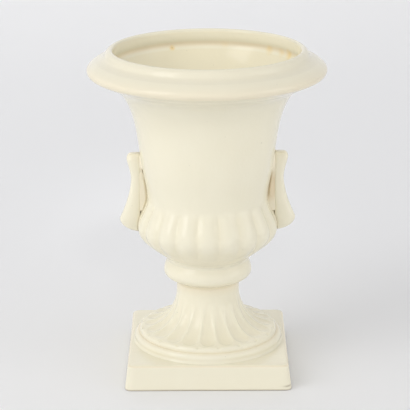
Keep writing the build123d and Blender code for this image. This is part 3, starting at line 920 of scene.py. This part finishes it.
# %% [markdown]
# The ear handles were modelled by hand and stuck on with slip, so their ends are dressed to the bowl. To
# dress them, the script has to know where the bowl's outside is, lobes included, in any direction and at
# any height.

# %% Bowl surface
cup_and_bell = bowl_strokes["flank"] + bowl_strokes["shoulder"] + bowl_strokes["bell"]
surface_radii, surface_levels = np.array(cup_and_bell).T
surface_cuts = lobe_rows[len(bowl_strokes["underside"]) :][: len(cup_and_bell)] / MM


def bowl_reach(angle, z):
    """Distance from the axis to the bowl's outside, in millimetres."""
    offset = np.abs(2 * ((angle / (2 * math.pi) * LOBES + 0.5) % 1) - 1)
    lobe = 1 - np.sqrt((1 - offset**2) ** 2 + LOBE_SOFTNESS)
    return np.interp(z, surface_levels, surface_radii) - lobe * np.interp(z, surface_levels, surface_cuts)


print("bowl's reach at the bulge:", round(float(bowl_reach(0.0, BULGE[1])), 1), "mm")

# %% [markdown]
# Each handle is a stack of rounded sections: how far they reach out and how wide they are changes from the
# flat top over the waist to the belly on the lobes. Points that would lie in the bowl are moved out to its
# surface, and the flat back leaves the narrow slot that the photograph shows behind each handle.

# %% Handles
HANDLE_TOP = NECK[1] + 32.5
HANDLE_FOOT = BULGE[1] - 3.0
HANDLE_WAIST = NECK[1] + 14.5
HANDLE_BELLY = BULGE[1] + 6.3
HANDLE_BACK = NECK[0] + 4.9
TOP_REACH = NECK[0] + 14.4
WAIST_REACH = NECK[0] + 11.0
BELLY_REACH = BULGE[0] + 11.5
TOP_WIDTH = 10.0
BELLY_WIDTH = 12.5
BELLY_FLARE = 1.7
TOP_ROUND = 5.0
TOP_DROP = 3.5
FOOT_ROUND = 9.0
LEFT_SAG = (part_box("right_handle")[1].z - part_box("left_handle")[1].z) / MM
BEDDING = 0.25
BLANK_BACK = HANDLE_BACK - 2.0
SECTION_POWER = 2 / 2.7
HANDLE_DENT = 0.3
HANDLE_WAVE = 26.0


def handle_section(z):
    """Outer reach and width of a handle at a height, rounded off towards both ends."""
    rise = smooth_step((z - HANDLE_WAIST) / (HANDLE_TOP - HANDLE_WAIST))
    fall = np.clip((HANDLE_WAIST - z) / (HANDLE_WAIST - HANDLE_BELLY), 0, 1) ** BELLY_FLARE
    reach = WAIST_REACH + (TOP_REACH - WAIST_REACH) * rise + (BELLY_REACH - WAIST_REACH) * fall
    width = TOP_WIDTH + (BELLY_WIDTH - TOP_WIDTH) * fall
    top_share = math.sqrt(1 - max(0.0, 1 - (HANDLE_TOP - z) / TOP_ROUND) ** 2)
    foot_share = math.sqrt(1 - max(0.0, 1 - (z - HANDLE_FOOT) / FOOT_ROUND) ** 2)
    reach = HANDLE_BACK + (reach - HANDLE_BACK) * foot_share - TOP_DROP * (1 - top_share)
    return reach, width * (0.45 + 0.55 * top_share * foot_share)


def rounded_section(depth, width, count):
    """Points of an oblong with very round corners, centred on the origin."""
    angles = np.linspace(0, 2 * math.pi, count, endpoint=False)
    along = np.sign(np.cos(angles)) * np.abs(np.cos(angles)) ** SECTION_POWER
    across = np.sign(np.sin(angles)) * np.abs(np.sin(angles)) ** SECTION_POWER
    return np.stack([0.5 * depth * along, 0.5 * width * across], axis=1)


def make_handle(name, side, sag):
    """Build one handle on the side of +X (1) or -X (-1)."""
    rings = []
    for share in 0.5 - 0.5 * np.cos(np.linspace(0.10, math.pi - 0.10, 64)):
        z = HANDLE_FOOT + share * (HANDLE_TOP - HANDLE_FOOT)
        reach, width = handle_section(z)
        ring = rounded_section(reach - BLANK_BACK, width, 56)
        ring[:, 0] = np.maximum(ring[:, 0] + 0.5 * (reach + BLANK_BACK), HANDLE_BACK)
        z -= sag
        away = np.hypot(ring[:, 0], ring[:, 1])
        clear = bowl_reach(np.arctan2(ring[:, 1], ring[:, 0]), z) + BEDDING
        ring *= np.maximum(1, clear / away)[:, None]
        rings.append(np.column_stack([ring, np.full(len(ring), z)]))
    rings = np.array(rings)
    dents = HANDLE_DENT * unevenness(rings.reshape(-1, 3) + side * 100, HANDLE_WAVE)
    dents = dents.reshape(rings.shape[:2])
    rings[..., 1] -= np.sign(rings[..., 1]) * np.minimum(dents, np.abs(rings[..., 1]))
    if side < 0:
        rings[..., :2] *= -1
    near_top = hump(rings[..., 2] - rings[-1, 0, 2], 4.0)
    return mesh_from_rows(name, rings, False, cream_glaze, {"thin_and_shade": 0.25 * near_top.ravel()})


right_handle = make_handle("right_ear_handle", 1, 0.0)
left_handle = make_handle("left_ear_handle", -1, LEFT_SAG)

# %% [markdown]
# Slip holds it all together. Behind each handle it fills the slot unevenly, and reaches right under the
# handle at both ends, where it was smoothed out on the bowl in a small fillet. Where it shrank away, a
# hollow is left, with painted shade in the notch along the bowl. The photograph shows different hollows on
# the two sides.

# %% Slip behind the handles
# Each hollow in the slip, in millimetres: height on the right handle, reach along the height,
# depth at the bowl, depth at the handle, and how strong the painted shade on its edge along the bowl is
RIGHT_HOLLOWS = ((130.5, 9.5, 2.2, 0.4, 0.10), (111.6, 1.4, 3.6, 3.2, 0.85))
LEFT_HOLLOWS = (
    (127.0, 13.0, 1.5, 0.0, 0.08),
    (143.2, 1.8, 3.0, 0.5, 0.45),
    (112.6, 1.7, 3.4, 2.2, 0.5),
)
SLIP_LOW = HANDLE_FOOT + 0.8
SLIP_HIGH = HANDLE_TOP - 0.7
FLUSH_SHARE = 0.46
LEAST_HALF = 0.8
FILLET = 2.2
NOTCH_START = 0.68
IN_HANDLE = 0.1
IN_BOWL = -0.3


def on_bowl(across, level, proud):
    """How far out the bowl's surface lies beside a handle, plus so many millimetres proud of it."""
    around = math.asin(across / NECK[0])
    return math.sqrt((float(bowl_reach(around, level)) + proud) ** 2 - across**2)


def on_handle(across, level):
    """How far out the handle's back lies, just inside the handle."""
    return max(HANDLE_BACK, on_bowl(across, level, BEDDING)) + IN_HANDLE


def slip_rings(side, sag, hollows):
    """Sections of the slip behind one handle, from its lower bed to its upper bed, and the painted shade on
    their edges.
    """
    rings, shades = [], []
    for z in np.linspace(SLIP_LOW, SLIP_HIGH, 110):
        level = z - sag
        flush = FLUSH_SHARE * handle_section(z)[1]
        ends = min(1, 0.7 + (SLIP_HIGH - z) / 2, 0.3 + (z - SLIP_LOW) / 3)
        swell = smooth_step((z - HANDLE_WAIST - 4.0) / 4.0) + smooth_step((HANDLE_BELLY - z) / 3.0)
        depths = [np.array(hollow[2:]) * hump(z - hollow[0], hollow[1], 4) for hollow in hollows]
        toe_depth, bed_depth, shade = sum(depths)
        toe = max(flush + FILLET * swell - toe_depth, LEAST_HALF) * ends
        half = max(flush - bed_depth, LEAST_HALF) * ends
        back = on_handle(half, level)
        edge = half + (0.35 if toe > half else 0.08) * (toe - half)
        edge_reach = back + NOTCH_START * (on_bowl(toe, level, IN_BOWL) - back)
        ring = [(on_handle(y, level), y, level) for y in np.linspace(-half, half, 9)]
        ring.append((edge_reach, edge, level))
        ring += [(on_bowl(y, level, IN_BOWL), y, level) for y in np.linspace(toe, -toe, 9)]
        ring.append((edge_reach, -edge, level))
        rings.append(ring)
        # Painted shade on the edge along the bowl
        shades.append([0.0] * 10 + [shade] * 9 + [0.0])
    rings = np.array(rings)
    if side < 0:
        rings[..., :2] *= -1
    return rings, np.array(shades)


def make_slip(name, side, sag, hollows, recess_shade):
    """Build the slip behind one handle, with warm painted shade along its longest hollow and painted shade
    along the bowl.
    """
    rings, shades = slip_rings(side, sag, hollows)
    # Warm painted shade along the longest hollow
    recess_shade_tint = recess_shade * hump(rings[..., 2] + sag - hollows[0][0], hollows[0][1], 4)
    return mesh_from_rows(name, rings, False, joint_slip, {"pool_and_shade": recess_shade_tint.ravel(), "bare_and_shade": shades.ravel()})


slip_halves = [
    make_slip("right_slip", 1, 0.0, RIGHT_HOLLOWS, 0.8),
    make_slip("left_slip", -1, LEFT_SAG, LEFT_HOLLOWS, 0.05),
]
with bpy.context.temp_override(active_object=slip_halves[0], selected_editable_objects=slip_halves):
    bpy.ops.object.join()
handle_slip = slip_halves[0]
handle_slip.name = "handle_slip"
handle_slip.data.set_sharp_from_angle(angle=math.radians(35))
print(handle_slip.name, len(handle_slip.data.vertices), "points")

# %% [markdown]
# Between the castings the slip was wiped to a small hollow fillet and glazed over with the rest, so these
# rings have the cream glaze. They are turned with the same tree as the castings, without any ornament.

# %% Slip rings between the castings
FACE_SAG = 0.25


def slip_ring(name, node, inner, edge, foot, top, hollow):
    """A glazed ring of slip that fills a joint, with a hollow face from a foot to a top point."""
    low, high = (corner.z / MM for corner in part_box(node))
    foot, top = (foot[0], low + foot[1]), (top[0], high + top[1])
    middle = (0.5 * (foot[0] + top[0]) - hollow, 0.5 * (foot[1] + top[1]) - FACE_SAG)
    outline = runs([(inner, low), (edge, low), foot], (4, 2)) + arc(foot, middle, top, 8)
    outline += runs([top, (edge, high), (inner, high), (inner, low)], (2, 4, 2)) + [(inner, low)]
    ring = turn_outline(name, outline, {"cover": np.ones(len(outline))}, segments=160, deepest_cut=1.0)
    ring.data.set_sharp_from_angle(angle=math.radians(30))
    return ring


bowl_face = ((KNOP_TOP_RADIUS + 0.9, -1.85), (CUP_BASE_RADIUS + 1.4, 1.35), 0.65)
bowl_slip = slip_ring("bowl_slip", "bowl_seam", SOCKET_RADIUS, KNOP_TOP_RADIUS - 0.3, *bowl_face)
plinth_face = ((RING_RADIUS + 0.9, 0.02), (RING_RADIUS, 1.9), 0.25)
plinth_slip = slip_ring("plinth_slip", "plinth_seam", SKIRT_BORE_RADIUS, RING_RADIUS - 1.2, *plinth_face)

# %% [markdown]
# Dust has settled in the crease above the knop, in a few faint dashes. They are written over the ring's
# darkening values, so the shader darkens the glaze there.

# %% Dust in the crease above the knop
# Each dash: first and last direction seen from above, in degrees (the front is at -90), and strength
DASHES = ((-99, -84, 0.08), (-81, -69, 0.14), (-57, -36, 0.12))
DASH_WIDTH = 0.45
DASH_FADE = 4

numbers = np.empty(3 * len(bowl_slip.data.vertices), np.float32)
bowl_slip.data.vertices.foreach_get("co", numbers)
slip_places = numbers.reshape(-1, 3) / MM
direction = np.degrees(np.arctan2(slip_places[:, 1], slip_places[:, 0]))
dust = np.zeros(len(slip_places))
for first, last, strength in DASHES:
    begun = smooth_step((direction - first) / DASH_FADE + 0.5)
    dust = np.maximum(dust, strength * begun * smooth_step((last - direction) / DASH_FADE + 0.5))
dust *= hump(slip_places[:, 2] - SOCLE_TOP, DASH_WIDTH)
bowl_slip.data.attributes["bare_and_shade"].data.foreach_set("value", dust.astype(np.float32))
print("dusty points:", int((dust > 0.05).sum()))

# %% [markdown]
# The studio: a pale sheet that runs under the vase and curves up behind it. The key light is on the left in
# front, as two lamps: a narrow softbox that the glaze mirrors, which gives the lights on the lobes and the
# knop, and a wider diffuser that it doesn't. Weak fills from the right, from the left and from low down
# open the shadows, one lamp washes the wall, and a narrow one lights the inside of the mouth.

# %% Stage
SHEET = (0.84, 0.84, 0.85, 1)
SHEET_BEND = 0.9
SHEET_HALF_WIDTH = 4.0


def make_sheet():
    """A floor that curves up into a back wall."""
    curve = quarter_ellipse((SHEET_BEND, SHEET_BEND), -SHEET_BEND, SHEET_BEND, 12, True)
    section = [(-3.0, 0.0), *curve, (2 * SHEET_BEND, SHEET_BEND), (2 * SHEET_BEND, 4.0)]
    points = [(x, y, z) for y, z in section for x in (-SHEET_HALF_WIDTH, SHEET_HALF_WIDTH)]
    faces = [(2 * i, 2 * i + 1, 2 * i + 3, 2 * i + 2) for i in range(len(section) - 1)]
    mesh = bpy.data.meshes.new("studio_sheet")
    mesh.from_pydata(points, [], faces)
    mesh.shade_smooth()
    paper = bpy.data.materials.new("studio_paper")
    paper.use_nodes = True
    shader = paper.node_tree.nodes["Principled BSDF"]
    fill_inputs(paper.node_tree, shader, {"Base Color": SHEET, "Roughness": 0.9})
    mesh.materials.append(paper)
    link_object("studio_sheet", mesh)


make_sheet()
print("studio sheet ready")

# %% Light
# Each softbox: name, place, target and size in metres, power in watts, and if the glaze mirrors it
SOFTBOXES = (
    ("key_softbox", (-1.15, -0.90, 1.15), (0, 0, 0.12), (0.75, 1.3), 5.6, True),
    ("key_diffuser", (-1.15, -0.90, 1.15), (0, 0, 0.12), (1.2, 1.3), 4.4, False),
    ("right_fill", (1.8, -0.6, 0.8), (0, 0, 0.12), (1.2, 1.6), 3.8, True),
    ("left_fill", (-1.9, -0.5, 0.6), (0, 0, 0.08), (1.4, 1.0), 4.6, False),
    ("wall_wash", (-0.2, 1.5, 1.1), (-0.1, 1.15, 0.02), (1.2, 0.4), 2.3, False),
    ("low_fill", (1.0, -1.35, 0.12), (0, 0, 0.12), (1.4, 0.2), 2.0, False),
)
MOUTH_LAMP = {"spot_size": math.radians(10), "spot_blend": 1.0, "shadow_soft_size": 0.08}
HORIZON = 1.03
ZENITH = 0.50


def add_lamp(name, kind, place, target, power, mirrored, settings):
    """A lamp at a place, in metres, that faces a target."""
    lamp_data = bpy.data.lights.new(name, kind)
    lamp_data.energy = power
    for key, value in settings.items():
        setattr(lamp_data, key, value)
    lamp = link_object(name, lamp_data)
    lamp.location = place
    lamp.rotation_euler = (Vector(place) - Vector(target)).to_track_quat("Z", "Y").to_euler()
    lamp.visible_glossy = mirrored


for name, place, target, (width, height), power, mirrored in SOFTBOXES:
    shape = {"shape": "RECTANGLE", "size": width, "size_y": height}
    add_lamp(name, "AREA", place, target, power, mirrored, shape)
add_lamp("mouth_lamp", "SPOT", (0.05, -0.72, 0.83), (-0.014, 0.058, 0.219), 12.5, False, MOUTH_LAMP)
world = bpy.data.worlds.new("studio_air")
world.use_nodes = True
air = world.node_tree
sky = add_node(air, "ShaderNodeTexCoord").outputs["Generated"]
heading = add_node(air, "ShaderNodeSeparateXYZ", {"Vector": sky})
glow = ramp(air, heading.outputs["Z"], (0.0, 1.0), (HORIZON, ZENITH))
fill_inputs(air, air.nodes["Background"], {"Color": (1, 1, 1, 1), "Strength": glow})
bpy.context.scene.world = world
bpy.context.scene.view_settings.view_transform = "Standard"

# %% [markdown]
# Each finished piece stands for one solid of the frame, which is hidden. The vase has no moving part, so
# every piece rides on the root body.

# %% Pieces onto the frame
for piece, node in (
    (bowl, "bowl"),
    (socle, "socle"),
    (plinth, "plinth"),
    (right_handle, "right_handle"),
    (left_handle, "left_handle"),
    (bowl_slip, "bowl_seam"),
    (plinth_slip, "plinth_seam"),
    (handle_slip, "handle_seams"),
):
    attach(piece, "root")
    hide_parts(node)
    print(piece.name, "stands for", node)
